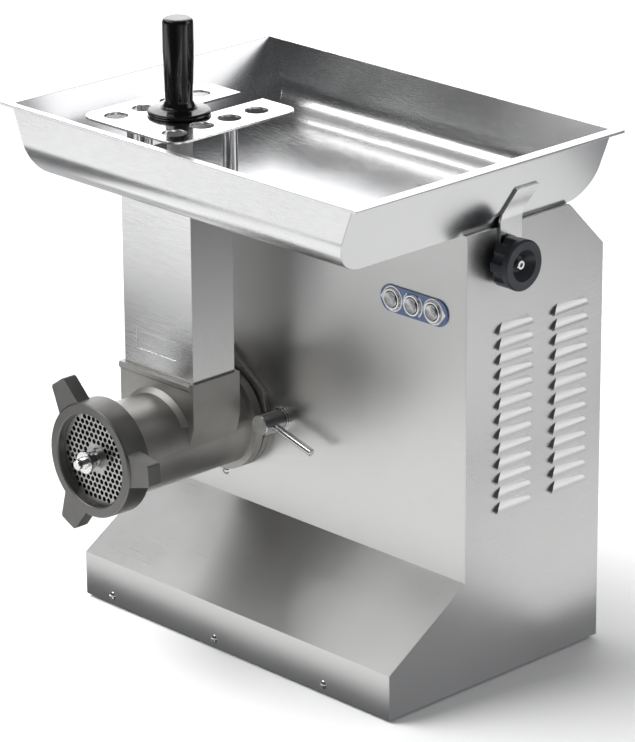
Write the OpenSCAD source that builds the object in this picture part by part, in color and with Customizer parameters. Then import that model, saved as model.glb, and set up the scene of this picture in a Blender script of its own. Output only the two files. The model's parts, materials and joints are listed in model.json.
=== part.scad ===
// Electric meat grinder with a detachable feed tray, a grinding head, a geared motor and a
// welded stainless cabinet. Units are millimetres, +Z is up and -Y is the front.
// The origin is on the table, under the middle of the whole machine's outline.
// Distances along Y are counted from the cabinet's front wall, wall_y.

/* [Overall] */
// Depth from the tip of the auger stud to the end of the cable gland
overall_d = 396; // [394:1:400]
// How far the cable gland stands out of the rear panel
gland_out = 16; // [12:1:20]
// Clearance between pieces that move past each other
gap = 0.3; // [0.2:0.05:0.4]
// Radial clearance of shafts and studs in their bores
fit = 0.05; // [0.02:0.01:0.08]

/* [Cabinet] */
// Width over the two side panels
cab_w = 420; // [410:1:424]
// Sideways place of the cabinet's middle
cab_cx = -6; // [-8:1:-4]
// Depth from the front wall to the rear panel
cab_d = 181; // [180:1:186]
// Height of the top above the table
cab_top = 445; // [440:1:450]
// Thickness of the cabinet sheet
sheet = 1.5; // [1.2:0.1:2]
// Gap that the feet leave under the cabinet
foot_gap = 3; // [2:0.5:4]
// How far the sloping shelf reaches in front of the wall
shelf_reach = 99; // [90:1:105]
// Height of the upright kick plate under the shelf
kick_h = 44; // [40:1:50]
// Height at which the shelf meets the wall
shelf_h = 106; // [100:1:110]
// Length of the flat top from the wall to the rear chamfer
top_len = 135; // [130:1:140]
// Drop of the rear chamfer
chamfer_drop = 47; // [40:1:50]
// Width of the bent-in flange round the side panels
flange_w = 12; // [10:1:15]

/* [Louvres] */
// Louvres in one column
louvre_n = 13; // [8:1:13]
// Distance from one louvre to the next
louvre_pitch = 14.6; // [14:0.1:15]
// Height of the lowest louvre's open edge
louvre_z = 168; // [160:1:175]
// Length of a louvre
louvre_len = 46; // [40:1:48]
// Height of the pressed hood
louvre_h = 10; // [8:0.5:11]
// How far the hood stands out
louvre_out = 4; // [3:0.5:5]
// Near edge of the first column, behind the wall
louvre_y1 = 38; // [36:1:44]
// Near edge of the second column, behind the wall
louvre_y2 = 112; // [108:1:116]

/* [Head] */
// Sideways place of the head, feed neck and pestle
feed_x = -109; // [-110:1:-106]
// Height of the head's axis
head_z = 194.5; // [192:0.5:200]
// Distance of the ring nut's front face from the wall
ring_reach = 183; // [181:1:184]
// Distance of the auger stud's tip from the wall
stud_reach = 199; // [197:1:201]
// Outer radius of the barrel
barrel_r = 45.5; // [45:0.5:46]
// Inner radius of the barrel
barrel_bore = 39.5; // [38:0.5:40]
// Radius of the ring nut's front face
ring_r = 55.5; // [55.5:0.5:58]
// Depth of the ring nut
ring_d = 26; // [24:1:27]
// Radius of the ring nut's opening
ring_open = 45.5; // [44.5:0.5:45.5]
// Radius of the lugs' tips
lug_r = 81; // [76:1:82]
// Radius of the grinding plate
plate_r = 49; // [48:0.5:49]
// Thickness of the grinding plate
plate_t = 8; // [7:0.5:9]
// Radius of one hole in the grinding plate
plate_hole = 2.4; // [1.5:0.1:2.6]
// Distance from one hole in the grinding plate to the next
plate_pitch = 6.3; // [6:0.1:8]

/* [Feed neck] */
// Width of the neck
neck_w = 96; // [92:1:98]
// Depth of the neck
neck_d = 53; // [52:0.5:56]
// Distance of the neck's front from the wall
neck_front = 93.5; // [92:0.5:95]
// Height of the head's socket
socket_top = 260; // [256:1:264]
// Wall thickness of the socket
socket_t = 3; // [3:0.5:4]

/* [Tray] */
// Width over the rim
tray_w = 474; // [470:1:480]
// Depth over the rim
tray_d = 342; // [338:1:346]
// Distance of the rim's front edge from the wall
tray_front = 171; // [170:1:173]
// Height of the rim above the tray's floor
tray_h = 70; // [66:1:74]
// Width of the rim over the two ends
rim_w = 10; // [8:1:12]
// Width of the rim along the front and rear
rim_front = 5.5; // [5:0.5:7]
// Thickness of the rim's hem
rim_t = 3; // [2.5:0.5:4]
// Thickness of the tray sheet
tray_t = 2; // [1.5:0.25:2.5]
// Radius of the bend at the tray's front
bend_front = 36; // [30:1:38]
// Radius of the bend at the tray's rear
bend_rear = 32; // [28:1:36]
// Inward lean of the end walls for each unit of height
end_lean = 0.39; // [0.36:0.01:0.42]

/* [Guard and pestle] */
// Width of the guard plate
guard_w = 134; // [130:1:136]
// Depth of the guard plate
guard_d = 158; // [154:1:160]
// Distance of the guard plate's front edge from the wall
guard_front = 130; // [128:1:132]
// Height of the guard plate's top
guard_top = 507.5; // [505:0.5:509]
// Thickness of the guard plate
guard_t = 2.5; // [2:0.5:3]
// Radius of the guard plate's round holes
guard_hole = 11.3; // [10:0.1:12]
// Radius of the guard posts
post_r = 7; // [6:0.5:7]
// Radius of the pestle's handle
handle_r = 14.6; // [13:0.1:15]
// Height of the pestle's top
handle_top = 600; // [590:1:610]
// Radius of the pestle's disc
disc_r = 30; // [28:0.5:31]
// Radius of the pestle's rod
rod_r = 12; // [11:0.5:12.5]

/* [Controls] */
// Sideways place of the control plate's middle
panel_x = 138; // [130:1:142]
// Height of the control plate's middle
panel_z = 364.5; // [355:0.5:370]
// Length of the control plate
panel_w = 86; // [84:1:94]
// Height of the control plate
panel_h = 26; // [25:1:30]
// Distance from one button to the next
button_pitch = 26; // [25:0.5:27]
// Radius of a button
button_r = 7.8; // [7:0.1:8]
// Travel of a button
button_travel = 3; // [2:0.5:3]

/* [Knob and clamp] */
// Radius of the tray knob
knob_r = 24; // [22:1:25]
// Length of the tray knob
knob_len = 22; // [20:1:25]
// Distance of the knob behind the wall
knob_y = 47.5; // [44:0.5:48]
// Height of the knob
knob_z = 412.5; // [410:0.5:416]
// Width of the bracket strip
bracket_w = 29; // [27:1:30]
// Sideways distance of the head clamp from the head's axis
clamp_dx = 70; // [69.5:0.5:74]
// Height of the head clamp above the head's axis
clamp_dz = 13; // [8:1:14]
// Radius of the clamp's boss
clamp_r = 10.5; // [10:0.5:11]
// Length of the clamp's rod from its axis
clamp_rod_len = 60; // [50:1:66]
// Droop of the clamp's rod at rest, in degrees
clamp_droop = 15; // [10:1:20]

/* [Drive] */
// Teeth of each small gear
pinion_z = 17; // [17:1:17]
// Teeth of each large gear
wheel_z = 51; // [51:1:51]
// Module of the output pair
module_out = 2.25; // [2.25:0.05:2.25]
// Module of the motor pair
module_in = 1.75; // [1.75:0.05:1.75]
// Play on each side of a tooth
backlash = 0.15; // [0.12:0.01:0.2]
// Outer radius of the motor housing
motor_r = 72; // [70:1:73]

/* [Hidden] */
$fn = 64;
e = 0.01;

// Cabinet places
rear_y = overall_d / 2 - gland_out;
wall_y = rear_y - cab_d;
cab_x0 = cab_cx - cab_w / 2;
cab_x1 = cab_cx + cab_w / 2;
cab_z0 = foot_gap;
kick_y = wall_y - shelf_reach;
kick_z = cab_z0 + kick_h;
shelf_z = cab_z0 + shelf_h;
shelf_angle = atan2(shelf_h - kick_h, shelf_reach);
chamfer_y = wall_y + top_len;
chamfer_z = cab_top - chamfer_drop;
chamfer_run = rear_y - chamfer_y;
chamfer_angle = atan2(chamfer_drop, chamfer_run);
in_y = wall_y + sheet;
foot_inset = 34;
foot_r = 13;
foot_places = [for (x = [cab_x0 + foot_inset, cab_x1 - foot_inset],
                    y = [kick_y + foot_inset, rear_y - foot_inset]) [x, y]];
screw_r = 4.5;
kick_screw_xs = [-178, -32, 117];
kick_screw_z = cab_z0 + 8;
wall_screw_x = feed_x - 10.5;
wall_screw_z = head_z - 62.5;
rear_screw_places = [for (x = [cab_x0 + 24, cab_cx, cab_x1 - 24], z = [30, 380]) [x, z]];
gland_x = 150;
gland_z = 60;

// Head places
ring_y = wall_y - ring_reach;
ring_back = ring_y + ring_d;
ring_wall = 9;
collar_r = 52;
plate_y = ring_y + ring_wall + gap;
plate_back = plate_y + plate_t;
mouth_r = 46;
mouth_end = plate_back + 11;
bore_end = wall_y - 34;
hub_bore = 29;
hub_end = wall_y - 18;
nose_r = 30;
nose_y = wall_y - 10;
flange_t = 6;
stud_r = 6.5;
neck_y0 = wall_y - neck_front;
neck_y1 = neck_y0 + neck_d;
pestle_y = wall_y - 61.5;
neck_t = 2;
neck_z0 = socket_top - 18;
socket_floor = head_z + 15;

// Tray places
tray_z = cab_top + gap;
tray_top = tray_z + tray_h;
rim_x = tray_w / 2;
rim_y0 = wall_y - tray_front;
rim_y1 = rim_y0 + tray_d;
mouth_x = rim_x - rim_w;
mouth_y0 = rim_y0 + rim_front;
mouth_y1 = rim_y1 - rim_front;
guard_x = feed_x + 3;
guard_y0 = wall_y - guard_front;
guard_y1 = guard_y0 + guard_d;
guard_slot = 15;
guard_corner = 16;
guard_hole_dx = 40;
guard_hole_pitch = 34.5;
guard_hole_y = guard_y0 + 23;
pestle_z = guard_top + gap;
rod_end = socket_top - 10;

// Drive places
case_y = in_y + 0.2;
case_wall = 7;
case_back = wall_y + 53;
cover_t = 10;
motor_y = case_back + cover_t;
motor_end = motor_y + 78;
lay_x = feed_x + module_out * (pinion_z + wheel_z) / 2;
rotor_x = lay_x + module_in * (pinion_z + wheel_z) / 2;
out_shaft_r = 15;
small_shaft_r = 9;
stub_r = 10;
clamp_x = feed_x + clamp_dx;
clamp_z = head_z + clamp_dz;
clamp_stem = 5;
clamp_rod_r = 3.6;
knob_x = cab_x1 + 3.5;
knob_stud_r = 4;
button_xs = [for (i = [-1:1]) panel_x + i * button_pitch - 1];

// ---------- Helpers ----------

// A round bar along Y from y0 to y1 about the point x, z
module bar_y(x, z, y0, y1, r, fn = 64) {
  translate([x, y0, z]) rotate([-90, 0, 0]) cylinder(h = y1 - y0, r = r, $fn = fn);
}

// A cone along Y, r0 at y0 and r1 at y1
module cone_y(x, z, y0, y1, r0, r1) {
  translate([x, y0, z]) rotate([-90, 0, 0]) cylinder(h = y1 - y0, r1 = r0, r2 = r1);
}

// A round bar along X from x0 to x1 about the point y, z
module bar_x(y, z, x0, x1, r, fn = 64) {
  translate([x0, y, z]) rotate([0, 90, 0]) cylinder(h = x1 - x0, r = r, $fn = fn);
}

// A box from its lowest to its highest corner
module box(lo, hi) {
  translate(lo) cube(hi - lo);
}

// A flat outline in Y and Z, made thick from x0 to x1
module slab_x(x0, x1) {
  translate([x0, 0, 0]) rotate([90, 0, 90]) linear_extrude(x1 - x0) children();
}

// A flat outline in X and Z, made thick from y0 to y1
module slab_y(y0, y1) {
  translate([0, y1, 0]) rotate([90, 0, 0]) linear_extrude(y1 - y0) children();
}

// A dome-headed slotted screw at the origin, head along +Z, shank below
module dome_screw(r, shank) {
  difference() {
    union() {
      intersection() {
        translate([0, 0, -r * 0.75]) sphere(r = r * 1.25);
        cylinder(h = r, r = r);
      }
      translate([0, 0, -shank]) cylinder(h = shank + e, r = r * 0.45);
    }
    translate([-r, -0.6, r * 0.25]) cube([2 * r, 1.2, r]);
  }
}

// Angle that the involute function gives at a pressure angle, in degrees
function inv(a) = tan(a) * 180 / PI - a;

// Half of a tooth's angle at radius r, for base radius rb and half angle hp at the pitch circle
function half_tooth(r, rb, hp, pressure = 20) =
  hp + inv(pressure) - (r > rb ? inv(acos(rb / r)) : 0);

// Points of one flank, from the root out to the tip
function flank(z, m, side, steps = 5) =
  let (rp = m * z / 2, rb = rp * cos(20), ra = rp + m, rr = rp - 1.25 * m,
       hp = 90 / z - backlash / rp * 180 / PI, r0 = max(rb, rr))
  concat([[rr, side * half_tooth(r0, rb, hp)]],
         [for (i = [0:steps]) let (r = r0 + (ra - r0) * i / steps)
          [r, side * half_tooth(r, rb, hp)]]);

function reversed(list) = [for (i = [len(list) - 1:-1:0]) list[i]];

// Outline of a spur gear with a tooth at angle 0
module gear_outline(z, m) {
  tooth = concat(flank(z, m, -1), reversed(flank(z, m, 1)));
  polygon([for (k = [0:z - 1], p = tooth)
           [p[0] * cos(p[1] + 360 * k / z), p[0] * sin(p[1] + 360 * k / z)]]);
}

// A spur gear about the point x, head_z, with its bore
module spur(x, z, m, y0, y1, bore) {
  difference() {
    translate([x, 0, head_z]) slab_y(y0, y1) gear_outline(z, m);
    bar_y(x, head_z, y0 - 1, y1 + 1, bore);
  }
}

// A ball bearing: two rings with a shielded web between them
module bearing(x, y0, y1, bore, outer) {
  difference() {
    bar_y(x, head_z, y0, y1, outer);
    bar_y(x, head_z, y0 - 1, y1 + 1, bore);
    for (y = [y0 - 1, y1 - 0.8]) {
      difference() {
        bar_y(x, head_z, y, y + 1.8, outer * 0.82);
        bar_y(x, head_z, y - 1, y + 3, outer * 0.18 + bore * 0.82);
      }
    }
  }
}

// ---------- Cabinet ----------

// Height of the shelf's underside at a place y
function shelf_under(y) = kick_z - sheet * cos(shelf_angle)
  + (y - kick_y - sheet * sin(shelf_angle)) * tan(shelf_angle);

// One bent sheet: kick plate, sloping shelf and front wall
module front_panel() {
  color("silver") difference() {
    slab_x(cab_x0 + sheet, cab_x1 - sheet) polygon([
      [kick_y, cab_z0], [kick_y, kick_z], [wall_y, shelf_z], [wall_y, cab_top],
      [in_y, cab_top], [in_y, shelf_under(in_y)],
      [kick_y + sheet, shelf_under(kick_y + sheet)], [kick_y + sheet, cab_z0]]);
    bar_y(feed_x, head_z, wall_y - 1, in_y + 1, nose_r + 0.2);
    bar_y(clamp_x, clamp_z, wall_y - 1, in_y + 1, clamp_stem + 0.4);
    for (x = button_xs) bar_y(x, panel_z, wall_y - 1, in_y + 1, button_r + 0.4);
    bar_y(wall_screw_x, wall_screw_z, wall_y - 1, in_y + 1, screw_r * 0.5);
    for (x = kick_screw_xs) bar_y(x, kick_screw_z, kick_y - 1, kick_y + 3, screw_r * 0.5);
  }
}

// Outline of a side panel, drawn in by d along the top, chamfer and rear
module side_outline(d) {
  shift = d * tan(chamfer_angle / 2);
  rear_shift = d * tan((90 - chamfer_angle) / 2);
  polygon([
    [kick_y, cab_z0], [kick_y, kick_z], [wall_y, shelf_z], [wall_y, cab_top - d],
    [chamfer_y - shift, cab_top - d], [rear_y - d, chamfer_z - rear_shift],
    [rear_y - d, cab_z0]]);
}

// A side panel between x0 and x1 with its flange turned towards x_in
module side_panel(x0, x1, x_in) {
  slab_x(x0, x1) side_outline(0);
  lo = min(x0, x_in);
  hi = max(x1, x_in);
  difference() {
    slab_x(lo, hi) side_outline(0);
    slab_x(lo - 1, hi + 1) side_outline(sheet);
    box([lo - 1, kick_y - 1, 0], [hi + 1, in_y + 0.2, cab_top + 1]);
    box([lo - 1, in_y, cab_z0 - 1], [hi + 1, rear_y + 1, cab_z0 + 4]);
  }
}

// The pressed hood of a louvre, open along its lower edge and drawn in by d
module hood(d) {
  out = louvre_out - d;
  top = louvre_h - d * 1.6;
  intersection() {
    slab_y(d, louvre_len - d) translate([cab_x1, 0]) polygon([
      [-sheet - d, -d], [out, -d], [out, 1], [out - 0.5, 3.6], [out - 1.7, 6.6],
      [-d, top], [-sheet - d, top]]);
    slab_x(cab_x1 - sheet - d, cab_x1 + louvre_out) polygon([
      [d, -d], [d, 1.5], [3 + d, 6], [8 + d, 10.5], [louvre_len - 6 - d, 10.5],
      [louvre_len - 2 - d, 7], [louvre_len - d, 3], [louvre_len - d, -d]]);
  }
}

// Every louvre place
module each_louvre() {
  for (col = [louvre_y1, louvre_y2], row = [0:louvre_n - 1]) {
    translate([0, wall_y + col, louvre_z + row * louvre_pitch]) children();
  }
}

module right_side_panel() {
  color("silver") difference() {
    union() {
      side_panel(cab_x1 - sheet, cab_x1, cab_x1 - flange_w);
      each_louvre() hood(0);
    }
    each_louvre() hood(1.2);
    bar_x(wall_y + knob_y, knob_z, cab_x1 - 5, cab_x1 + 1, knob_stud_r + fit);
  }
}

module left_side_panel() {
  color("silver") side_panel(cab_x0, cab_x0 + sheet, cab_x0 + flange_w);
}

module top_panel() {
  color("silver") box([cab_x0 + flange_w + 0.2, in_y + 0.2, cab_top - sheet],
                      [cab_x1 - flange_w - 0.2, chamfer_y - 1, cab_top]);
}

// Chamfer and rear wall in one bent sheet, with cooling slots and the gland's hole
module rear_panel() {
  shift = sheet * tan(chamfer_angle / 2);
  rear_shift = sheet * tan((90 - chamfer_angle) / 2);
  color("silver") difference() {
    slab_x(cab_x0 + flange_w + 0.2, cab_x1 - flange_w - 0.2) polygon([
      [chamfer_y, cab_top], [rear_y, chamfer_z], [rear_y, cab_z0],
      [rear_y - sheet, cab_z0], [rear_y - sheet, chamfer_z - rear_shift],
      [chamfer_y - shift, cab_top - sheet]]);
    for (x = [rotor_x - 50, rotor_x + 10], i = [0:8]) {
      box([x, rear_y - 3, head_z - 52 + i * 12], [x + 40, rear_y + 1, head_z - 47 + i * 12]);
    }
    bar_y(gland_x, gland_z, rear_y - 3, rear_y + 1, 8.1);
    for (p = rear_screw_places) bar_y(p[0], p[1], rear_y - 3, rear_y + 1, screw_r * 0.5);
  }
}

module base_plate() {
  color("gray") difference() {
    box([cab_x0 + sheet + 0.2, kick_y + sheet + 0.2, cab_z0],
        [cab_x1 - sheet - 0.2, rear_y - sheet - 0.2, cab_z0 + 2]);
    for (p = foot_places) translate([p[0], p[1], 0]) cylinder(h = 20, r = 5.1);
  }
}

// Four rubber feet buttoned through the base plate
module rubber_feet() {
  color("black") for (p = foot_places) translate([p[0], p[1], 0]) {
    cylinder(h = foot_gap, r1 = foot_r - 1, r2 = foot_r);
    cylinder(h = foot_gap + 4, r = 5);
    translate([0, 0, foot_gap + 2]) cylinder(h = 3, r1 = 8, r2 = 6);
  }
}

// Three screws low on the kick plate and one on the wall under the head
module front_screws() {
  color("lightgray") {
    for (x = kick_screw_xs) translate([x, kick_y, kick_screw_z]) rotate([90, 25, 0]) {
      dome_screw(screw_r, 8);
    }
    translate([wall_screw_x, wall_y, wall_screw_z]) rotate([90, 60, 0]) dome_screw(screw_r, 7);
  }
}

module rear_screws() {
  color("lightgray") for (p = rear_screw_places) {
    translate([p[0], rear_y, p[1]]) rotate([-90, 0, 0]) dome_screw(screw_r, 8);
  }
}

// Cable gland: hexagon body, dome nut and inner lock nut round one bore
module cable_gland() {
  color("dimgray") difference() {
    union() {
      bar_y(gland_x, gland_z, rear_y - 9, rear_y + 5, 8);
      bar_y(gland_x, gland_z, rear_y, rear_y + 6, 12, 6);
      cone_y(gland_x, gland_z, rear_y + 6, rear_y + gland_out, 10.5, 7.5);
      bar_y(gland_x, gland_z, rear_y - sheet - 4, rear_y - sheet, 11.5, 6);
    }
    bar_y(gland_x, gland_z, rear_y - 10, rear_y + gland_out + 1, 4.5);
  }
}

// ---------- Grinding head ----------

// Collar on the wall that the head plugs into, with an ear towards the clamp
module mounting_flange() {
  color("darkgray") difference() {
    union() {
      bar_y(feed_x, head_z, wall_y - flange_t, wall_y, 52);
      translate([feed_x, 0, head_z]) slab_y(wall_y - flange_t, wall_y) polygon([
        [-50, -36], [-54, 16], [-50, 36], [0, 71], [50, 36], [54, 16], [54, -8], [10, -51]]);
    }
    bar_y(feed_x, head_z, wall_y - flange_t - 1, wall_y + 1, nose_r + 0.1);
  }
}

// Barrel, mouth collar, feed socket and rear flange in one casting
module head_body() {
  socket_x = neck_w / 2 + gap;
  outer_x = socket_x + socket_t;
  lip_y = neck_y0 - gap - socket_t;
  socket_foot = 22.5;
  color("gray") difference() {
    union() {
      bar_y(feed_x, head_z, ring_back - 1 - e, wall_y - flange_t, barrel_r);
      bar_y(feed_x, head_z, plate_y + 0.4, ring_back - 6 + e, collar_r);
      cone_y(feed_x, head_z, ring_back - 6, ring_back - 1, collar_r, barrel_r);
      bar_y(feed_x, head_z, wall_y - 17, wall_y - 8, 52);
      translate([feed_x, 0, head_z]) slab_y(lip_y, neck_y1 + gap + socket_t) polygon([
        [-barrel_r + 0.5, 0], [barrel_r - 0.5, 0], [outer_x, socket_foot],
        [outer_x, socket_top - head_z], [-outer_x, socket_top - head_z],
        [-outer_x, socket_foot]]);
      intersection() {
        cone_y(feed_x, head_z, lip_y - 5, lip_y + e, barrel_r, barrel_r + 4.5);
        box([feed_x - outer_x, lip_y - 5, head_z + socket_foot],
            [feed_x + outer_x, lip_y + 1, socket_top]);
      }
      slab_x(feed_x - outer_x + 1, feed_x + outer_x - 3) polygon([
        [lip_y + e, socket_top], [lip_y - 2, socket_top], [lip_y - 3, socket_top - 1.5],
        [lip_y - 3, socket_top - 5], [lip_y + e, socket_top - 8]]);
    }
    bar_y(feed_x, head_z, ring_y, plate_back, plate_r + gap);
    bar_y(feed_x, head_z, plate_back - e, mouth_end, mouth_r);
    cone_y(feed_x, head_z, mouth_end - e, mouth_end + 6, mouth_r, barrel_bore);
    bar_y(feed_x, head_z, mouth_end + 5, bore_end, barrel_bore);
    bar_y(feed_x, head_z, bore_end - 1, hub_end + 1, hub_bore);
    bar_y(feed_x, head_z, hub_end, wall_y, nose_r + 0.1);
    box([feed_x - socket_x, neck_y0 - gap, socket_floor],
        [feed_x + socket_x, neck_y1 + gap, socket_top + 1]);
    box([feed_x - 3, ring_y, head_z - plate_r - 1.8], [feed_x + 3, plate_back, head_z - 45]);
  }
}

// Places of the grinding plate's holes: a hexagonal grid between the hub and the rim
plate_holes = [for (i = [-8:8], j = [-8:8])
  let (x = plate_pitch * (i + j / 2), z = plate_pitch * j * sqrt(3) / 2, r = norm([x, z]))
  if (r > 14.5 && r < ring_open - plate_hole - 0.8) [x, z]];

module grinding_plate() {
  color("lightgray") difference() {
    union() {
      bar_y(feed_x, head_z, plate_y, plate_back, plate_r);
      bar_y(feed_x, head_z, plate_y - 3, plate_y + 1, 10);
      box([feed_x - 2.8, plate_y, head_z - plate_r - 1.4],
          [feed_x + 2.8, plate_back, head_z - plate_r + 1]);
    }
    bar_y(feed_x, head_z, plate_y - 4, plate_back + 1, stud_r + fit);
    for (p = plate_holes) {
      bar_y(feed_x + p[0], head_z + p[1], plate_y - 1, plate_back + 1, plate_hole, 16);
    }
  }
}

// One tapering lug of the ring nut, pointing along +X from the axis
module lug() {
  slab_y(ring_y + 2, ring_y + 17) polygon([
    [ring_r - 4.5, -17], [ring_r + 1.5, -15.5], [lug_r - 2, -10.8], [lug_r, -9],
    [lug_r, 9], [lug_r - 2, 10.8], [ring_r + 1.5, 15.5], [ring_r - 4.5, 17]]);
}

// A turned form about the head's axis, from points of radius and distance behind y0
module turned(y0, points) {
  translate([feed_x, y0, head_z]) rotate([-90, 0, 0]) rotate_extrude() polygon(points);
}

module ring_nut() {
  back_r = ring_r + 0.8;
  thread_r = collar_r + gap;
  color("gray") difference() {
    union() {
      turned(ring_y, [[0, 0], [ring_r - 1.2, 0], [ring_r + 0.3, 1.5], [back_r, ring_d],
                      [0, ring_d]]);
      for (a = [-124, -4, 116]) {
        translate([feed_x, 0, head_z]) rotate([0, a, 0]) lug();
      }
    }
    turned(ring_y, [[0, -1], [ring_open + 2.2, -1], [ring_open, 1.2], [ring_open, ring_wall],
                    [thread_r, ring_wall], [thread_r, ring_d + 1], [0, ring_d + 1]]);
  }
}

// Four-armed knife that sweeps the back of the grinding plate
module knife() {
  y0 = plate_back + 0.2;
  color("lightgray") difference() {
    translate([feed_x, 0, head_z]) slab_y(y0, y0 + 8) union() {
      circle(r = 14);
      for (a = [0:90:270]) rotate(a) polygon([[5, -8], [44, -3], [45, 2], [44, 6], [5, 9]]);
    }
    bar_y(feed_x, head_z, y0 - 1, y0 + 9, stud_r + fit);
  }
}

// Feed screw with a hexagonal shank that plugs into the drive shaft
module auger() {
  front = plate_back + 9;
  flight = barrel_bore - 1.5;
  turns = 2.5;
  color("gray") {
    translate([feed_x, bore_end, head_z]) rotate([90, 0, 0]) {
      linear_extrude(bore_end - front, twist = -360 * turns, slices = 60) {
        circle(r = 15, $fn = 24);
        polygon([for (a = [-16, -8, 0, 8, 16]) flight * [cos(a), sin(a)],
                 [10, 9], [10, -9]]);
      }
    }
    bar_y(feed_x, head_z, bore_end - e, nose_y - 6, hub_bore - 1);
    bar_y(feed_x, head_z, nose_y - 6 - e, nose_y + 16, 9.8, 6);
  }
}

module auger_stud() {
  tip = wall_y - stud_reach;
  color("lightgray") {
    bar_y(feed_x, head_z, plate_y - 5, plate_back + 9, stud_r);
    bar_y(feed_x, head_z, tip + 5, plate_y - 5 + e, 5.5);
    bar_y(feed_x, head_z, tip, tip + 5 + e, 4.8);
  }
}

module stud_washer() {
  y0 = wall_y - stud_reach + 9.5;
  color("lightgray") difference() {
    bar_y(feed_x, head_z, y0, y0 + 3.5, 10.8);
    bar_y(feed_x, head_z, y0 - 1, y0 + 5, 5.5 + fit);
  }
}

module stud_nut() {
  y0 = wall_y - stud_reach + 13;
  color("lightgray") difference() {
    bar_y(feed_x, head_z, y0, plate_y - 5.4, 8.2);
    bar_y(feed_x, head_z, y0 - 1, plate_y, 5.5 + fit);
  }
}

// ---------- Gearbox ----------

module drive_shaft() {
  color("gray") difference() {
    union() {
      bar_y(feed_x, head_z, nose_y - 5.5, case_back - 1, out_shaft_r);
      bar_y(feed_x, head_z, case_back - 1 - e, case_back + cover_t - 1.5, stub_r);
    }
    bar_y(feed_x, head_z, nose_y - 7, nose_y + 17, 9.9, 6);
  }
}

module output_gear() {
  color("darkgray") spur(feed_x, wheel_z, module_out, case_y + 14, case_y + 32,
                         out_shaft_r + 0.02);
}

module layshaft() {
  color("gray") bar_y(lay_x, head_z, case_y + 3, case_back + cover_t - 1.5, small_shaft_r);
}

module layshaft_pinion() {
  color("darkgray") spur(lay_x, pinion_z, module_out, case_y + 13, case_y + 33,
                         small_shaft_r + 0.02);
}

module layshaft_gear() {
  color("darkgray") spur(lay_x, wheel_z, module_in, case_back - 15, case_back - 3,
                         small_shaft_r + 0.02);
}

module motor_pinion() {
  color("darkgray") spur(rotor_x, pinion_z, module_in, case_back - 16, case_back - 2,
                         small_shaft_r + 0.02);
}

// The three round chambers of the gearbox, grown by d
module chambers(y0, y1, d) {
  bar_y(feed_x, head_z, y0, y1, 66 + d);
  bar_y(lay_x, head_z, y0, y1, 54 + d);
  bar_y(rotor_x, head_z, y0, y1, 38 + d);
}

// Cast case with the bearing nose that comes out through the front wall
module gearbox_case() {
  color("lightsteelblue") difference() {
    union() {
      chambers(case_y, case_back, 6);
      bar_y(feed_x, head_z, nose_y, case_y + 1, nose_r);
      for (p = case_ears) bar_y(p[0], p[1], case_y + 30, case_back, 7);
    }
    difference() {
      chambers(case_y + case_wall, case_back + 1, 0);
      bar_y(lay_x, head_z, case_y, case_y + 11, 22);
    }
    bar_y(feed_x, head_z, nose_y + 7, case_y + case_wall + 1, 26.05);
    bar_y(feed_x, head_z, nose_y - 1, nose_y + 8, 24.05);
    bar_y(lay_x, head_z, case_y + 2.5, case_y + 12, 17.55);
    bar_y(clamp_x, clamp_z, case_y - 1, case_y + 2.6, clamp_stem + 0.3);
    bar_y(wall_screw_x, wall_screw_z, case_y - 1, wall_y + 7.4, screw_r * 0.5);
    for (p = case_ears) bar_y(p[0], p[1], case_back - 12, case_back + 1, 2.6);
  }
}
case_ears = [[feed_x - 74, head_z], [feed_x - 20, head_z + 72], [feed_x - 20, head_z - 72],
             [lay_x + 10, head_z + 60], [lay_x + 10, head_z - 60], [rotor_x + 46, head_z]];

// Rear cover that also carries the motor
module gearbox_cover() {
  back = case_back + cover_t;
  color("lightsteelblue") difference() {
    union() {
      chambers(case_back, back, 6);
      for (p = case_ears) bar_y(p[0], p[1], case_back, back - 4, 7);
      bar_y(rotor_x, head_z, back - 5, back, motor_r + 4);
    }
    bar_y(feed_x, head_z, case_back - 1, back - 1.4, 20.05);
    bar_y(lay_x, head_z, case_back - 1, back - 1.4, 17.55);
    bar_y(rotor_x, head_z, case_back - 1, back - 1.4, 17.55);
    bar_y(rotor_x, head_z, case_back, back + 1, small_shaft_r + 1);
    for (p = case_ears) {
      bar_y(p[0], p[1], case_back - 1, back + 1, 2.8);
      bar_y(p[0], p[1], back - 4, back + 1, 5);
    }
  }
}

module gearbox_screws() {
  color("gray") for (p = case_ears) {
    bar_y(p[0], p[1], case_back - 10, motor_y - 2, 2.5);
    bar_y(p[0], p[1], motor_y - 4 + e, motor_y - 0.5, 4.5, 6);
  }
}

module output_bearings() {
  color("silver") {
    bearing(feed_x, nose_y + 8.2, case_y + case_wall, out_shaft_r + fit, 26);
    bearing(feed_x, case_back + 0.2, case_back + cover_t - 1.6, stub_r + fit, 20);
  }
}

module layshaft_bearings() {
  color("silver") {
    bearing(lay_x, case_y + 2.6, case_y + 10.6, small_shaft_r + fit, 17.5);
    bearing(lay_x, case_back + 0.2, case_back + cover_t - 1.6, small_shaft_r + fit, 17.5);
  }
}

module shaft_seal() {
  color("saddlebrown") difference() {
    bar_y(feed_x, head_z, nose_y + 0.5, nose_y + 7, 24);
    bar_y(feed_x, head_z, nose_y, nose_y + 8, out_shaft_r + fit);
  }
}

// ---------- Motor ----------

module rotor_shaft() {
  color("gray") bar_y(rotor_x, head_z, case_back - 17, motor_end + 20, small_shaft_r);
}

module rotor_core() {
  color("dimgray") difference() {
    bar_y(rotor_x, head_z, motor_y + 14, motor_end - 14, 41.5);
    bar_y(rotor_x, head_z, motor_y, motor_end, small_shaft_r + 0.02);
  }
}

module stator_core() {
  color("slategray") difference() {
    bar_y(rotor_x, head_z, motor_y + 14, motor_end - 14, motor_r - 4.2);
    bar_y(rotor_x, head_z, motor_y, motor_end, 42);
  }
}

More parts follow.
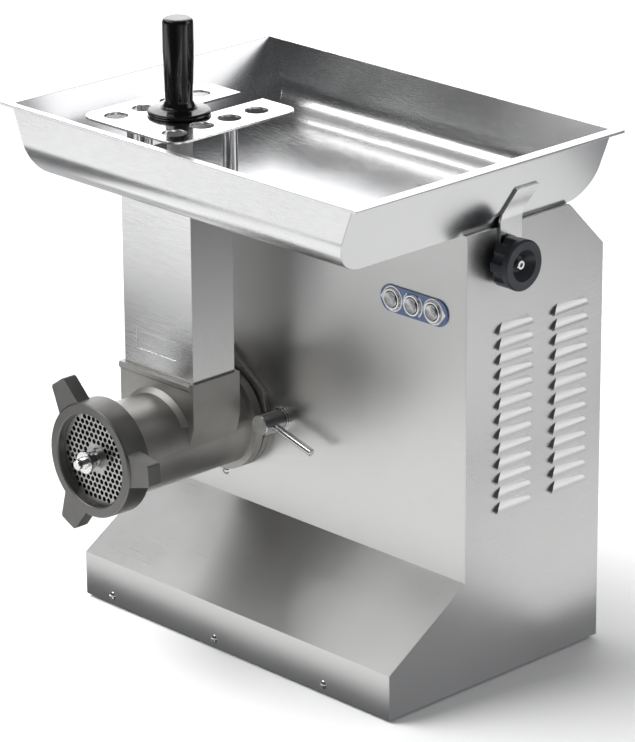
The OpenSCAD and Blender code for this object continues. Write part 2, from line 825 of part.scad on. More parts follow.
module stator_windings() {
  color("peru") for (y = [motor_y + 4, motor_end - 14 + e]) difference() {
    bar_y(rotor_x, head_z, y, y + 10 - 2 * e, 62);
    bar_y(rotor_x, head_z, y - 1, y + 11, 46);
  }
}

// Finned tube round the stator
module motor_housing() {
  fins = 20;
  color("steelblue") difference() {
    union() {
      bar_y(rotor_x, head_z, motor_y, motor_end, motor_r - 1);
      for (i = [0:fins - 1]) translate([rotor_x, 0, head_z]) rotate([0, i * 360 / fins, 0]) {
        box([motor_r - 3, motor_y + 6, -1.2], [motor_r + 4, motor_end - 4, 1.2]);
      }
    }
    bar_y(rotor_x, head_z, motor_y - 1, motor_end + 1, motor_r - 4);
  }
}

module motor_end_shield() {
  color("steelblue") difference() {
    union() {
      bar_y(rotor_x, head_z, motor_end, motor_end + 4, motor_r - 1);
      bar_y(rotor_x, head_z, motor_end - 4, motor_end + e, motor_r - 4.3);
      bar_y(rotor_x, head_z, motor_end, motor_end + 9, 21);
    }
    bar_y(rotor_x, head_z, motor_end - 5, motor_end - e, 63);
    bar_y(rotor_x, head_z, motor_end - 5, motor_end + 8, 17.55);
    bar_y(rotor_x, head_z, motor_end, motor_end + 10, small_shaft_r + 1);
  }
}

module motor_bearings() {
  color("silver") {
    bearing(rotor_x, case_back + 0.2, case_back + cover_t - 1.6, small_shaft_r + fit, 17.5);
    bearing(rotor_x, motor_end - 0.2, motor_end + 7.8, small_shaft_r + fit, 17.5);
  }
}

// Radial fan on the motor's tail
module cooling_fan() {
  y0 = motor_end + 11;
  color("darkolivegreen") difference() {
    union() {
      bar_y(rotor_x, head_z, y0, y0 + 9, 16);
      bar_y(rotor_x, head_z, y0, y0 + 1.5, 56);
      for (a = [0:45:315]) translate([rotor_x, 0, head_z]) rotate([0, a, 0]) {
        box([12, y0, -1], [56, y0 + 9, 1]);
      }
    }
    bar_y(rotor_x, head_z, y0 - 1, y0 + 10, small_shaft_r + 0.02);
  }
}

// Cup over the fan, with an air inlet grille
module fan_cowl() {
  y1 = motor_end + 26;
  color("dimgray") difference() {
    bar_y(rotor_x, head_z, motor_end + 4 + e, y1, motor_r - 1);
    bar_y(rotor_x, head_z, motor_end + 3, y1 - 1.5, motor_r - 3);
    for (i = [-4:4]) {
      half = sqrt(pow(52, 2) - pow(i * 10, 2));
      box([rotor_x - half, y1 - 3, head_z + i * 10 - 3], [rotor_x + half, y1 + 1,
                                                          head_z + i * 10 + 3]);
    }
  }
}

// ---------- Electrical parts ----------

module contactor_box() {
  z0 = cab_z0 + 2;
  color("whitesmoke") {
    box([60, wall_y + 62, z0], [125, wall_y + 118, z0 + 62]);
    box([66, wall_y + 70, z0 + 62 - e], [119, wall_y + 110, z0 + 70]);
  }
}

module run_capacitor() {
  color("gainsboro") translate([160, wall_y + 50, cab_z0 + 2]) {
    cylinder(h = 78, r = 20);
    cylinder(h = 82, r = 6);
  }
}

module switch_blocks() {
  color("darkslategray") for (x = button_xs) {
    box([x - 10, in_y + 7, panel_z - 12], [x + 10, in_y + 38, panel_z + 12]);
    box([x - 12, in_y + 0.01, panel_z + 9.5], [x + 12, in_y + 8, panel_z + 12]);
    box([x - 12, in_y + 0.01, panel_z - 12], [x + 12, in_y + 8, panel_z - 9.5]);
  }
}

// Plate with round ends behind the three buttons
module control_plate() {
  half = (panel_w - panel_h) / 2;
  color("steelblue") difference() {
    union() {
      box([panel_x - half, wall_y - 1.5, panel_z - panel_h / 2],
          [panel_x + half, wall_y, panel_z + panel_h / 2]);
      for (x = [-half, half]) bar_y(panel_x + x, panel_z, wall_y - 1.5, wall_y, panel_h / 2);
    }
    for (x = button_xs) bar_y(x, panel_z, wall_y - 3, wall_y + 1, button_r + 0.4);
  }
}

module button_bezels() {
  color("silver") for (x = button_xs) difference() {
    cone_y(x, panel_z, wall_y - 4, wall_y - 1.5, button_r + 2, button_r + 2.8);
    bar_y(x, panel_z, wall_y - 5, wall_y, button_r + 0.4);
  }
}

// One push button with a dished face
module button(x) {
  face = wall_y - 5.5;
  color("lightgray") difference() {
    union() {
      cone_y(x, panel_z, face, face + 0.8, button_r - 0.8, button_r);
      bar_y(x, panel_z, face + 0.8 - e, wall_y + 2, button_r);
      bar_y(x, panel_z, wall_y, in_y + 7 - button_travel - gap, 3);
    }
    translate([x, face - 30 + 0.9, panel_z]) sphere(r = 30);
  }
}

module reverse_button() { button(button_xs[0]); }
module stop_button() { button(button_xs[1]); }
module start_button() { button(button_xs[2]); }

// ---------- Clamp beside the head ----------

module clamp_screw() {
  face = wall_y - 30;
  color("lightgray") difference() {
    union() {
      bar_y(clamp_x, clamp_z, face + 0.8, wall_y - 5.2, clamp_r);
      cone_y(clamp_x, clamp_z, face, face + 0.8 + e, clamp_r - 0.8, clamp_r);
      bar_y(clamp_x, clamp_z, wall_y - 6, case_y + 2, clamp_stem);
    }
    translate([clamp_x, wall_y - 17, clamp_z]) rotate([0, 90 + clamp_droop, 0]) {
      cylinder(h = 40, r = clamp_rod_r + 0.02);
    }
  }
}

module clamp_rod() {
  color("lightgray") translate([clamp_x, wall_y - 17, clamp_z]) {
    rotate([0, 90 + clamp_droop, 0]) {
      translate([0, 0, 0.2]) cylinder(h = clamp_rod_len - 0.8, r = clamp_rod_r);
      translate([0, 0, clamp_rod_len - 0.6 - e]) {
        cylinder(h = 0.6, r1 = clamp_rod_r, r2 = clamp_rod_r - 0.6);
      }
    }
  }
}

// Two stepped washers on the wall
module clamp_washers() {
  color("lightgray") difference() {
    union() {
      bar_y(clamp_x, clamp_z, wall_y - 2.4, wall_y, 12.5);
      bar_y(clamp_x, clamp_z, wall_y - 4.8, wall_y - 2.6, 11.5);
    }
    bar_y(clamp_x, clamp_z, wall_y - 6, wall_y + 1, clamp_stem + fit);
  }
}

// ---------- Tray ----------

// Half width of the tray at height z, drawn in by d
function end_x(z, d) = mouth_x - end_lean * (tray_top - z) - d * sqrt(1 + end_lean * end_lean);

// The tray's solid form, drawn in by d on every side
module tray_form(d, top) {
  x = mouth_x + 1;
  z0 = tray_z + d;
  intersection() {
    union() {
      box([-x, mouth_y0 + bend_front, z0], [x, mouth_y1 - bend_rear, top]);
      box([-x, mouth_y0 + d, tray_z + bend_front], [x, mouth_y1 - bend_rear, top]);
      box([-x, mouth_y0 + bend_front, tray_z + bend_rear], [x, mouth_y1 - d, top]);
      bar_x(mouth_y0 + bend_front, tray_z + bend_front, -x, x, bend_front - d);
      bar_x(mouth_y1 - bend_rear, tray_z + bend_rear, -x, x, bend_rear - d);
    }
    slab_y(rim_y0, rim_y1) polygon([
      [-end_x(z0, d), z0], [end_x(z0, d), z0], [end_x(top, d), top], [-end_x(top, d), top]]);
  }
}

// Open tray with its rim and the hole over the feed neck
module tray() {
  hole_x = neck_w / 2 - neck_t;
  color("silver") difference() {
    union() {
      tray_form(0, tray_top);
      box([-rim_x, rim_y0, tray_top - rim_t], [rim_x, rim_y1, tray_top]);
    }
    tray_form(tray_t, tray_top + 1);
    box([feed_x - hole_x, neck_y0 + neck_t, tray_z - 1],
        [feed_x + hole_x, neck_y1 - neck_t, tray_z + tray_t + 1]);
    difference() {
      box([-rim_x + 1.5, rim_y0 + 1.5, tray_top - rim_t - 1],
          [rim_x - 1.5, rim_y1 - 1.5, tray_top - 1.2]);
      tray_form(0, tray_top);
      box([-mouth_x, mouth_y0, tray_top - 4], [mouth_x, mouth_y1, tray_top + 1]);
    }
  }
}

// Square tube from the tray's floor into the head's socket
module feed_neck() {
  x = neck_w / 2;
  pocket_x0 = feed_x - x + 17;
  pocket_x1 = feed_x + x - 24;
  pocket_z = socket_top + 26;
  color("silver") difference() {
    box([feed_x - x, neck_y0, neck_z0], [feed_x + x, neck_y1, tray_z]);
    box([feed_x - x + neck_t, neck_y0 + neck_t, neck_z0 - 1],
        [feed_x + x - neck_t, neck_y1 - neck_t, tray_z + 1]);
    box([pocket_x0, neck_y0 - 1, pocket_z - 9], [pocket_x1, neck_y0 + 0.9, pocket_z + 9]);
    bar_y(pocket_x1, pocket_z, neck_y0 - 1, neck_y0 + 0.9, 9);
  }
}

// Flat guard with a slot for the pestle and two rows of round holes
module guard_plate() {
  z0 = guard_top - guard_t;
  in_x = guard_w / 2 - guard_corner;
  color("whitesmoke") difference() {
    union() {
      box([guard_x - guard_w / 2, guard_y0 + guard_corner, z0],
          [guard_x + guard_w / 2, guard_y1 - guard_corner, guard_top]);
      box([guard_x - in_x, guard_y0, z0], [guard_x + in_x, guard_y1, guard_top]);
      for (x = [-in_x, in_x], y = [guard_y0 + guard_corner, guard_y1 - guard_corner]) {
        translate([guard_x + x, y, z0]) cylinder(h = guard_t, r = guard_corner);
      }
    }
    box([guard_x - guard_slot, pestle_y, z0 - 1],
        [guard_x + guard_slot, guard_y1 + 1, guard_top + 1]);
    translate([guard_x, pestle_y, z0 - 1]) cylinder(h = guard_t + 2, r = guard_slot);
    for (x = [-guard_hole_dx, guard_hole_dx], i = [0:3]) {
      translate([guard_x + x, guard_hole_y + i * guard_hole_pitch, z0 - 1]) {
        cylinder(h = guard_t + 2, r = guard_hole);
      }
    }
  }
}

// Posts that carry the guard plate over the tray's floor
module guard_posts() {
  side = guard_w / 2 - post_r - 1;
  places = [[guard_x + side, wall_y - 55], [guard_x - side, wall_y - 55],
            [guard_x, guard_y0 + 10]];
  color("lightgray") for (p = places) translate([p[0], p[1], tray_z + tray_t]) {
    cylinder(h = guard_top - guard_t - tray_z - tray_t, r = post_r);
  }
}

// Strip welded to the tray's end wall, leaning rearward above its bend, and slotted
// over the knob's stud
module tray_bracket() {
  t = 2.5;
  y0 = wall_y + knob_y - 8;
  y_top = y0 + 13;
  x_low = cab_x1 + 0.4;
  z_low = knob_z - 20;
  z_top = tray_z + 35;
  lean = t * sqrt(1 + end_lean * end_lean);
  z_bend = tray_top - (mouth_x - x_low) / end_lean;
  color("silver") difference() {
    intersection() {
      slab_y(y0, y_top + bracket_w) polygon([
        [x_low, z_low], [x_low, z_bend], [end_x(z_top, 0), z_top],
        [end_x(z_top, 0) + lean, z_top], [x_low + t, z_bend + (t - lean) / end_lean],
        [x_low + t, z_low]]);
      slab_x(x_low - 1, x_low + 40) polygon([
        [y0, z_low - 1], [y0, z_bend - 6], [y_top, z_top + 1], [y_top + bracket_w, z_top + 1],
        [y0 + bracket_w, z_bend - 6], [y0 + bracket_w, z_low - 1]]);
    }
    box([x_low - 1, wall_y + knob_y - 4.6, z_low - 1],
        [x_low + t + 1, wall_y + knob_y + 4.6, knob_z]);
    bar_x(wall_y + knob_y, knob_z, x_low - 1, x_low + t + 1, 4.6);
  }
}

// Lobed hand knob with a dished face, turning on its threaded stud
module clamp_knob() {
  lobes = 8;
  color("black") difference() {
    union() {
      bar_x(wall_y + knob_y, knob_z, knob_x + 2, knob_x + knob_len - 1.5, knob_r);
      translate([knob_x + knob_len - 1.5, wall_y + knob_y, knob_z]) rotate([0, 90, 0]) {
        cylinder(h = 1.5, r1 = knob_r, r2 = knob_r - 1.5);
      }
      bar_x(wall_y + knob_y, knob_z, knob_x, knob_x + 3, 12);
    }
    for (i = [0:lobes - 1]) translate([0, wall_y + knob_y, knob_z]) {
      rotate([i * 360 / lobes + 22.5, 0, 0]) {
        bar_x(knob_r + 3.2, 0, knob_x - 1, knob_x + knob_len - 6, 6.5);
      }
    }
    translate([knob_x + knob_len - 9, wall_y + knob_y, knob_z]) rotate([0, 90, 0]) {
      cylinder(h = 9 + e, r1 = 8, r2 = 15);
    }
    bar_x(wall_y + knob_y, knob_z, knob_x - 1, knob_x + knob_len, knob_stud_r + fit);
  }
}

// Threaded stud of the knob, with its head inside the side panel
module knob_stud() {
  color("silver") {
    bar_x(wall_y + knob_y, knob_z, cab_x1 - sheet - e, knob_x + knob_len - 6, knob_stud_r);
    bar_x(wall_y + knob_y, knob_z, cab_x1 - sheet - 6, cab_x1 - sheet - 0.01, 9, 6);
  }
}

// ---------- Pestle ----------

// Waisted handle that grows out of a flat disc
module pestle_handle() {
  h = handle_top - pestle_z;
  color("black") translate([feed_x, pestle_y, pestle_z]) rotate_extrude() {
    union() {
      polygon([[0, 0], [disc_r - 1, 0], [disc_r, 1], [disc_r, 3], [disc_r - 2, 4.5],
               [handle_r + 4, 5.5], [handle_r + 0.5, 8], [handle_r - 1.4, 13],
               [handle_r - 1.2, 30], [handle_r, 60], [handle_r, h - 4], [handle_r - 1.2, h - 1.2],
               [handle_r - 4, h], [0, h]]);
    }
  }
}

module pestle_rod() {
  color("whitesmoke") translate([feed_x, pestle_y, rod_end]) {
    cylinder(h = pestle_z - rod_end, r = rod_r);
  }
}

front_panel();
right_side_panel();
left_side_panel();
top_panel();
rear_panel();
base_plate();
rubber_feet();
front_screws();
rear_screws();
cable_gland();
mounting_flange();
head_body();
grinding_plate();
ring_nut();
knife();
auger();
auger_stud();
stud_washer();
stud_nut();
drive_shaft();
output_gear();
layshaft();
layshaft_gear();
layshaft_pinion();
rotor_shaft();
motor_pinion();
rotor_core();
cooling_fan();
gearbox_case();
gearbox_cover();
gearbox_screws();
output_bearings();
layshaft_bearings();
motor_bearings();
shaft_seal();
motor_housing();
motor_end_shield();
stator_core();
stator_windings();
fan_cowl();
contactor_box();
run_capacitor();
switch_blocks();
control_plate();
button_bezels();
reverse_button();
stop_button();
start_button();
clamp_screw();
clamp_rod();
clamp_washers();
tray();
feed_neck();
guard_plate();
guard_posts();
tray_bracket();
clamp_knob();
knob_stud();
pestle_handle();
pestle_rod();
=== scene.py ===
"""Looks of the electric meat grinder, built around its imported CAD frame. All lengths are metres."""
import json
import math

import bmesh
import bpy
from mathutils import Matrix, Vector


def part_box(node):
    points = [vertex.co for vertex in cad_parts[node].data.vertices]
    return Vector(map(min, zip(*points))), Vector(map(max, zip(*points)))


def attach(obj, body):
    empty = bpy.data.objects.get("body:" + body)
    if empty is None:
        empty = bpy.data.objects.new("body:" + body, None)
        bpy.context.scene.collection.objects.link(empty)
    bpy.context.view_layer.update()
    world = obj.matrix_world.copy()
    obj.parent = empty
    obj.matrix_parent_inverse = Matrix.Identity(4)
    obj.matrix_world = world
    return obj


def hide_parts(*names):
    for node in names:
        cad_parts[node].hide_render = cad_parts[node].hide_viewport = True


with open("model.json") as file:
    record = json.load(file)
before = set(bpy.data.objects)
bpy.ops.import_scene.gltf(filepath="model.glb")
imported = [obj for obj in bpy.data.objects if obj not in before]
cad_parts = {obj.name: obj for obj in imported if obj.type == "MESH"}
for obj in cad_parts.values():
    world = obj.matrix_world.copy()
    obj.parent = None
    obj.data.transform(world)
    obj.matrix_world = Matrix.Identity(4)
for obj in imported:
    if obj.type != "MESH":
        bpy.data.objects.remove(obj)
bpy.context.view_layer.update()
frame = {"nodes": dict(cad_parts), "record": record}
nodes = frame["nodes"]

MM = 0.001

# ---------- Camera ----------

CAMERA_AZIMUTH = 46.06
CAMERA_ELEVATION = 20.10
CAMERA_ROLL = -0.38
CAMERA_DISTANCE = 3.871
CAMERA_TARGET = Vector((0.0, 0.0105, 0.2626))
CAMERA_LENS = 199.2


def add_camera():
    """The camera at the photograph's viewing angle."""
    az, el = math.radians(CAMERA_AZIMUTH), math.radians(CAMERA_ELEVATION)
    roll = math.radians(CAMERA_ROLL)
    back = Vector((math.sin(az) * math.cos(el), -math.cos(az) * math.cos(el), math.sin(el)))
    right = (-back).cross(Vector((0, 0, 1))).normalized()
    up = back.cross(right)
    turned_right = right * math.cos(roll) + up * math.sin(roll)
    turned_up = up * math.cos(roll) - right * math.sin(roll)
    data = bpy.data.cameras.new("camera")
    data.lens = CAMERA_LENS
    data.sensor_width = 36
    data.clip_end = 50
    camera = bpy.data.objects.new("camera", data)
    bpy.context.scene.collection.objects.link(camera)
    axes = Matrix((turned_right, turned_up, back)).transposed()
    camera.matrix_world = Matrix.Translation(CAMERA_TARGET + back * CAMERA_DISTANCE) @ axes.to_4x4()
    bpy.context.scene.camera = camera


# ---------- Materials ----------

# A wave texture of scale 1 has rings this far apart
WAVE_RING = 0.314

class Shader:
    """A new node material with a Principled shader, and short ways to add nodes to it."""

    def __init__(self, name):
        self.material = bpy.data.materials.new(name)
        self.material.use_nodes = True
        self.tree = self.material.node_tree
        self.bsdf = self.tree.nodes["Principled BSDF"]

    def add(self, kind, **values):
        node = self.tree.nodes.new(kind)
        for key, value in values.items():
            if key in node.inputs:
                node.inputs[key].default_value = value
            else:
                setattr(node, key, value)
        return node

    def link(self, source, target):
        self.tree.links.new(source, target)

    def set(self, **values):
        for key, value in values.items():
            self.bsdf.inputs[key.replace("_", " ")].default_value = value

    def coords(self, scale=(1, 1, 1), rotation=(0, 0, 0)):
        """The piece's own coordinates in metres, stretched by scale."""
        source = self.add("ShaderNodeTexCoord")
        mapping = self.add("ShaderNodeMapping")
        mapping.inputs["Scale"].default_value = scale
        mapping.inputs["Rotation"].default_value = rotation
        self.link(source.outputs["Object"], mapping.inputs["Vector"])
        return mapping.outputs["Vector"]

    def noise(self, vector, scale, detail=3.0, rough=0.5):
        node = self.add("ShaderNodeTexNoise")
        node.inputs["Scale"].default_value = scale
        node.inputs["Detail"].default_value = detail
        node.inputs["Roughness"].default_value = rough
        self.link(vector, node.inputs["Vector"])
        return node.outputs["Fac"]

    def spread(self, value, low, high, start=0.3, end=0.7):
        """Maps a texture's value from start..end to low..high."""
        node = self.add("ShaderNodeMapRange")
        node.inputs["From Min"].default_value = start
        node.inputs["From Max"].default_value = end
        node.inputs["To Min"].default_value = low
        node.inputs["To Max"].default_value = high
        self.link(value, node.inputs["Value"])
        return node.outputs["Result"]

    def join(self, a, b, operation="ADD"):
        node = self.add("ShaderNodeMath")
        node.operation = operation
        self.link(a, node.inputs[0])
        self.link(b, node.inputs[1])
        return node.outputs["Value"]

    def tint(self, value, dark, light, start=0.3, end=0.7):
        """A colour that runs from dark to light with the value."""
        ramp = self.add("ShaderNodeValToRGB")
        ramp.color_ramp.elements[0].position = start
        ramp.color_ramp.elements[1].position = end
        ramp.color_ramp.elements[0].color = (*dark, 1)
        ramp.color_ramp.elements[1].color = (*light, 1)
        self.link(value, ramp.inputs["Fac"])
        self.link(ramp.outputs["Color"], self.bsdf.inputs["Base Color"])

    def roughness(self, value):
        self.link(value, self.bsdf.inputs["Roughness"])

    def bump(self, value, strength, distance=0.0002):
        node = self.add("ShaderNodeBump")
        node.inputs["Strength"].default_value = strength
        node.inputs["Distance"].default_value = distance
        self.link(value, node.inputs["Height"])
        self.link(node.outputs["Normal"], self.bsdf.inputs["Normal"])


def brushed(name, dark, light, rough, grain, grain_bump=0.05, blotch=0.04):
    """Satin sheet: fine grain lines along the short grain axis, with broad soft variation."""
    s = Shader(name)
    s.set(Metallic=1.0)
    lines = s.noise(s.coords(scale=grain), 1.0, detail=4.0, rough=0.6)
    broad = s.noise(s.coords(), 7.0, detail=2.0)
    s.tint(broad, dark, light)
    s.roughness(s.join(s.spread(lines, rough - 0.05, rough + 0.05),
                       s.spread(broad, -blotch, blotch)))
    s.bump(lines, grain_bump, 0.0001)
    return s.material


def satin_sheet():
    return brushed("satin_sheet", (0.66, 0.66, 0.65), (0.74, 0.74, 0.73), 0.34,
                   grain=(40, 40, 2600))


def tray_sheet():
    return brushed("tray_sheet", (0.77, 0.77, 0.77), (0.84, 0.84, 0.84), 0.23,
                   grain=(60, 1800, 1800), grain_bump=0.03)


def guard_sheet():
    return brushed("guard_sheet", (0.86, 0.86, 0.86), (0.93, 0.93, 0.93), 0.15,
                   grain=(2200, 60, 2200), grain_bump=0.04, blotch=0.03)


def cast_stainless(name, dark, light):
    """Blasted casting: fine grit, small pits and a slightly darker, warmer tone."""
    s = Shader(name)
    s.set(Metallic=1.0)
    grit = s.noise(s.coords(), 900.0, detail=5.0, rough=0.65)
    patches = s.noise(s.coords(), 28.0, detail=3.0)
    s.tint(patches, dark, light)
    s.roughness(s.join(s.spread(grit, 0.42, 0.54), s.spread(patches, -0.04, 0.05)))
    s.bump(grit, 0.22, 0.0002)
    return s.material


def turned_steel(name, dark, light, rough, rings=1500.0):
    """Turned or ground steel with fine tool marks."""
    s = Shader(name)
    s.set(Metallic=1.0)
    marks = s.noise(s.coords(scale=(rings, rings * 0.02, rings)), 1.0, detail=3.0)
    broad = s.noise(s.coords(), 40.0)
    s.tint(broad, dark, light)
    s.roughness(s.spread(marks, rough - 0.04, rough + 0.06))
    s.bump(marks, 0.06, 0.0001)
    return s.material


def turned_face(name, centre, dark, light, rough, pitch):
    """Steel faced on a lathe: fine rings about centre, with a soft sheen variation."""
    s = Shader(name)
    s.set(Metallic=1.0)
    source = s.add("ShaderNodeTexCoord")
    shift = s.add("ShaderNodeVectorMath", operation="SUBTRACT")
    shift.inputs[1].default_value = centre
    s.link(source.outputs["Object"], shift.inputs[0])
    rings = s.add("ShaderNodeTexWave", wave_type="RINGS", rings_direction="Y")
    rings.inputs["Scale"].default_value = WAVE_RING / pitch
    rings.inputs["Distortion"].default_value = 1.2
    rings.inputs["Detail"].default_value = 3.0
    s.link(shift.outputs["Vector"], rings.inputs["Vector"])
    broad = s.noise(s.coords(), 160.0)
    s.tint(s.join(s.spread(rings.outputs["Fac"], 0.25, 0.75, 0.0, 1.0),
                  s.spread(broad, -0.15, 0.15)), dark, light, 0.1, 0.9)
    s.roughness(s.spread(rings.outputs["Fac"], rough - 0.05, rough + 0.07, 0.0, 1.0))
    s.bump(rings.outputs["Fac"], 0.25, 0.0001)
    return s.material


def moulded(name, dark, light, rough, texture=1400.0, bump=0.15, coat=0.0):
    """Moulded plastic or rubber with a fine skin."""
    s = Shader(name)
    s.set(Coat_Weight=coat, Coat_Roughness=0.06)
    skin = s.noise(s.coords(), texture, detail=4.0)
    broad = s.noise(s.coords(), 35.0)
    s.tint(broad, dark, light)
    s.roughness(s.join(s.spread(skin, rough - 0.04, rough + 0.04),
                       s.spread(broad, -0.03, 0.03)))
    s.bump(skin, bump, 0.0001)
    return s.material


def laminations():
    """Stacked electrical sheet: thin dark lines across the motor's axis."""
    s = Shader("laminations")
    s.set(Metallic=1.0)
    layers = s.noise(s.coords(scale=(5, 2000, 5)), 1.0)
    s.tint(layers, (0.14, 0.14, 0.16), (0.36, 0.36, 0.38))
    s.roughness(s.spread(layers, 0.35, 0.55))
    s.bump(layers, 0.3, 0.0003)
    return s.material


def copper_wire():
    """Wound enamelled copper."""
    s = Shader("copper_wire")
    s.set(Metallic=1.0)
    turns = s.add("ShaderNodeTexWave", bands_direction="Y")
    turns.inputs["Scale"].default_value = 160.0
    turns.inputs["Distortion"].default_value = 2.0
    s.link(s.coords(), turns.inputs["Vector"])
    s.tint(turns.outputs["Fac"], (0.35, 0.12, 0.05), (0.75, 0.36, 0.18))
    s.roughness(s.spread(turns.outputs["Fac"], 0.25, 0.4))
    s.bump(turns.outputs["Fac"], 0.6, 0.0005)
    return s.material


MATERIALS = {
    "satin_sheet": satin_sheet(),
    "tray_sheet": tray_sheet(),
    "guard_sheet": guard_sheet(),
    "cast_stainless": cast_stainless("cast_stainless", (0.44, 0.43, 0.41),
                                     (0.56, 0.55, 0.53)),
    "plate_steel": turned_steel("plate_steel", (0.62, 0.62, 0.61), (0.74, 0.74, 0.73), 0.30),
    "bright_steel": turned_steel("bright_steel", (0.74, 0.74, 0.74), (0.84, 0.84, 0.84), 0.16),
    "handle_black": moulded("handle_black", (0.0015, 0.0015, 0.0018), (0.003, 0.003, 0.0035),
                            0.14, texture=300.0, bump=0.015, coat=0.35),
    "knob_black": moulded("knob_black", (0.018, 0.021, 0.025), (0.034, 0.039, 0.047), 0.36),
    "rod_white": moulded("rod_white", (0.70, 0.70, 0.68), (0.80, 0.80, 0.78), 0.42),
    "panel_blue": moulded("panel_blue", (0.075, 0.125, 0.27), (0.105, 0.165, 0.33), 0.30,
                          texture=900.0, bump=0.05, coat=0.3),
    "rubber_black": moulded("rubber_black", (0.012, 0.012, 0.012), (0.03, 0.03, 0.03), 0.7,
                            bump=0.3),
    "grey_plastic": moulded("grey_plastic", (0.05, 0.05, 0.055), (0.09, 0.09, 0.1), 0.5),
    "zinc_plate": turned_steel("zinc_plate", (0.50, 0.52, 0.54), (0.64, 0.66, 0.68), 0.34, 300.0),
    "cast_aluminium": turned_steel("cast_aluminium", (0.50, 0.51, 0.53), (0.62, 0.63, 0.65),
                                   0.48, 700.0),
    "gear_steel": turned_steel("gear_steel", (0.38, 0.38, 0.38), (0.50, 0.50, 0.50), 0.3),
    "laminations": laminations(),
    "copper_wire": copper_wire(),
    "seal_rubber": moulded("seal_rubber", (0.10, 0.03, 0.015), (0.18, 0.06, 0.03), 0.55),
}

MARK_WHITE = moulded("mark_white", (0.78, 0.78, 0.78), (0.86, 0.86, 0.86), 0.4, bump=0.04)

# ---------- Helpers for CAD nodes ----------

WELD_GAP = 1e-6
# Faces that meet at less than this many degrees are one flat face
FLAT_ANGLE = 0.5


def dress(name, material, soften=0.0, segments=2, angle=30):
    """Gives a CAD node its material, and rolls its sharp edges by soften."""
    obj = nodes[name]
    mesh = obj.data
    mesh.materials.clear()
    mesh.materials.append(material)
    if "custom_normal" in mesh.attributes:
        mesh.attributes.remove(mesh.attributes["custom_normal"])
    mesh.polygons.foreach_set("use_smooth", [True] * len(mesh.polygons))
    weld = obj.modifiers.new("weld", "WELD")
    weld.merge_threshold = WELD_GAP
    if not soften:
        split = obj.modifiers.new("crisp_edges", "EDGE_SPLIT")
        split.split_angle = math.radians(angle)
        return
    flat = obj.modifiers.new("flat_faces", "DECIMATE")
    flat.decimate_type = "DISSOLVE"
    flat.angle_limit = math.radians(FLAT_ANGLE)
    bevel = obj.modifiers.new("rolled_edges", "BEVEL")
    bevel.width = soften
    bevel.segments = segments
    bevel.limit_method = "ANGLE"
    bevel.angle_limit = math.radians(angle)
    flatten = obj.modifiers.new("flat_shading", "WEIGHTED_NORMAL")
    flatten.weight = 100


# ---------- Stage ----------

FLOOR_REACH = 40


def add_floor():
    """A plain pale floor, lit but left out of the metal's reflections."""
    mesh = bpy.data.meshes.new("floor")
    size = FLOOR_REACH
    mesh.from_pydata([(-size, -size, 0), (size, -size, 0), (size, size, 0), (-size, size, 0)],
                     [], [(0, 1, 2, 3)])
    floor = bpy.data.objects.new("floor", mesh)
    bpy.context.scene.collection.objects.link(floor)
    s = Shader("floor")
    s.set(Specular_IOR_Level=0.2)
    s.tint(s.noise(s.coords(), 3.0), (0.86, 0.86, 0.86), (0.88, 0.88, 0.88))
    s.roughness(s.spread(s.noise(s.coords(), 60.0), 0.6, 0.7))
    mesh.materials.append(s.material)
    floor.visible_glossy = False


def add_light(name, kind, place, target):
    """A light at place, turned to target, that the camera doesn't see."""
    data = bpy.data.lights.new(name, kind)
    light = bpy.data.objects.new(name, data)
    bpy.context.scene.collection.objects.link(light)
    place, target = Vector(place), Vector(target)
    light.matrix_world = (Matrix.Translation(place)
                          @ (target - place).to_track_quat("-Z", "Y").to_matrix().to_4x4())
    light.visible_camera = False
    return light


def add_soft_light(name, direction, strength, angle):
    """Even light from a broad part of the studio's ceiling. Metal shows only the cards."""
    light = add_light(name, "SUN", direction, (0, 0, 0))
    light.data.energy = strength
    light.data.angle = math.radians(angle)
    light.visible_glossy = False


def add_card(name, place, target, size, brightness):
    """A bright card for the metal to reflect."""
    light = add_light(name, "AREA", place, target)
    light.data.shape = "RECTANGLE"
    light.data.size, light.data.size_y = size
    light.data.energy = brightness * 4 * size[0] * size[1]
    light.visible_diffuse = False


WORLD_BASE = (0.065, 0.067, 0.070)

# Direction of each patch, the cosines where it starts and is full, and its light
WORLD_LOBES = (
    ((-0.65, 0.62, 0.42), 0.80, 0.97, (1.9, 1.9, 1.93)),
    ((0.70, 0.64, 0.26), 0.92, 0.99, (1.35, 1.35, 1.38)),
    ((-0.68, -0.02, 0.74), 0.74, 0.98, (0.35, 0.35, 0.35)),
    ((0.68, 0.65, -0.38), 0.70, 0.99, (0.14, 0.14, 0.145)),
    ((-0.68, -0.65, -0.36), 0.80, 0.99, (0.10, 0.10, 0.10)),
    ((-0.72, 0.56, -0.40), 0.55, 0.98, (0.50, 0.50, 0.51)),
    ((0.88, -0.32, -0.34), 0.86, 0.99, (0.20, 0.20, 0.205)),
)


